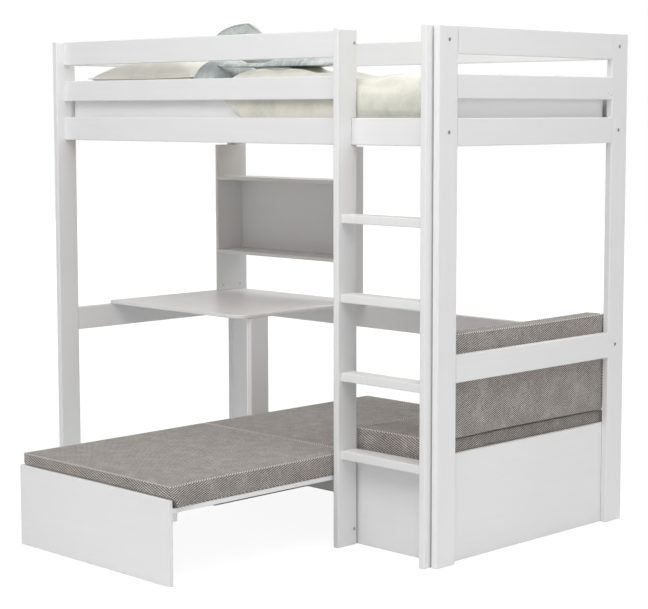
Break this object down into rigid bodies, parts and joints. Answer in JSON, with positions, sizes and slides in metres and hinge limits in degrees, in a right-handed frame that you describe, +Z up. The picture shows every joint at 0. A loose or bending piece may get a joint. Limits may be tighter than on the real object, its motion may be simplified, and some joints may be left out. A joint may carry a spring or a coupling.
{
  "type": "loft bed",
  "caption": "High sleeper loft bed in white painted wood with a ladder, a desk and shelves below, and a corner sofa that pulls out into a guest bed.",
  "frame": {"origin": "on the floor, in the middle of the object's box with the guest bed pulled out", "axes": "+X along the bed from the desk's end to the ladder's end, +Y from the front, where the guest bed pulls out, to the back, +Z up"},
  "size_m": [2.08, 1.794, 1.8459],
  "materials": {
    "painted_wood": "satin white paint",
    "bare_wood": "bare pine",
    "steel": "zinc plated",
    "tweed": "flecked grey brown weave",
    "ticking": "white cotton cover",
    "cream_cotton": "cream cotton",
    "blue_cotton": "blue grey cotton"
  },
  "bodies": {
    "frame": {"back_cushion": "tweed", "desk_leg": "painted_wood", "desk_top": "painted_wood", "duvet": "cream_cotton", "front_ladder_bolt": "steel", "front_ledger": "bare_wood", "front_middle_guard_rail": "painted_wood", "front_side_rail": "painted_wood", "front_side_rail_bolt": "steel", "front_top_guard_rail": "painted_wood", "guest_bed_apron": "painted_wood", "guest_bed_fixed_slats": "bare_wood", "guest_bed_left_board": "painted_wood", "guest_rear_cushion": "tweed", "ladder_left_upright": "painted_wood", "ladder_right_upright": "painted_wood", "ladder_rung_1": "painted_wood", "ladder_rung_2": "painted_wood", "ladder_rung_3": "painted_wood", "ladder_rung_4": "painted_wood", "leaning_pillow": "blue_cotton", "left_end_bed_rail": "painted_wood", "left_end_desk_height_rail": "painted_wood", "left_end_middle_guard_rail": "painted_wood", "left_end_top_guard_rail": "painted_wood", "left_front_post": "painted_wood", "left_rear_post": "painted_wood", "lower_shelf": "painted_wood", "mattress": "ticking", "pillow": "cream_cotton", "rear_desk_height_rail": "painted_wood", "rear_desk_rail_bolt": "steel", "rear_ledger": "bare_wood", "rear_middle_guard_rail": "painted_wood", "rear_side_rail": "painted_wood", "rear_side_rail_bolt": "steel", "rear_top_bolt": "steel", "rear_top_guard_rail": "painted_wood", "right_end_bed_rail": "painted_wood", "right_end_desk_height_rail": "painted_wood", "right_end_middle_guard_rail": "painted_wood", "right_end_top_guard_rail": "painted_wood", "right_front_post": "painted_wood", "right_rear_post": "painted_wood", "seat_board": "painted_wood", "seat_cushion": "tweed", "seat_front_panel": "painted_wood", "seat_rear_panel": "painted_wood", "seat_side_panel": "painted_wood", "shelf_back_panel": "painted_wood", "shelf_left_panel": "painted_wood", "shelf_right_panel": "painted_wood", "slatted_base": "bare_wood", "small_pillow": "blue_cotton", "sofa_end_panel": "painted_wood", "upper_shelf": "painted_wood"},
    "pull_out": {"pull_out_front_panel": "painted_wood", "pull_out_slats": "painted_wood"},
    "front_cushion": {"guest_front_cushion": "tweed"}
  },
  "joints": [
    {"name": "pull_out_slide", "type": "slide", "parent": "frame", "child": "pull_out", "axis": [0, 1, 0], "range_m": [0, 0.815]},
    {"name": "cushion_fold", "type": "hinge", "parent": "frame", "child": "front_cushion", "pos_m": [0.1865, -0.0624, 0.3343], "axis": [-1, 0, 0], "range_deg": [0, 180]}
  ],
  "couplings": [
    {"joint": "cushion_fold", "follows": "pull_out_slide", "rad_per_m": 3.8546}
  ]
}
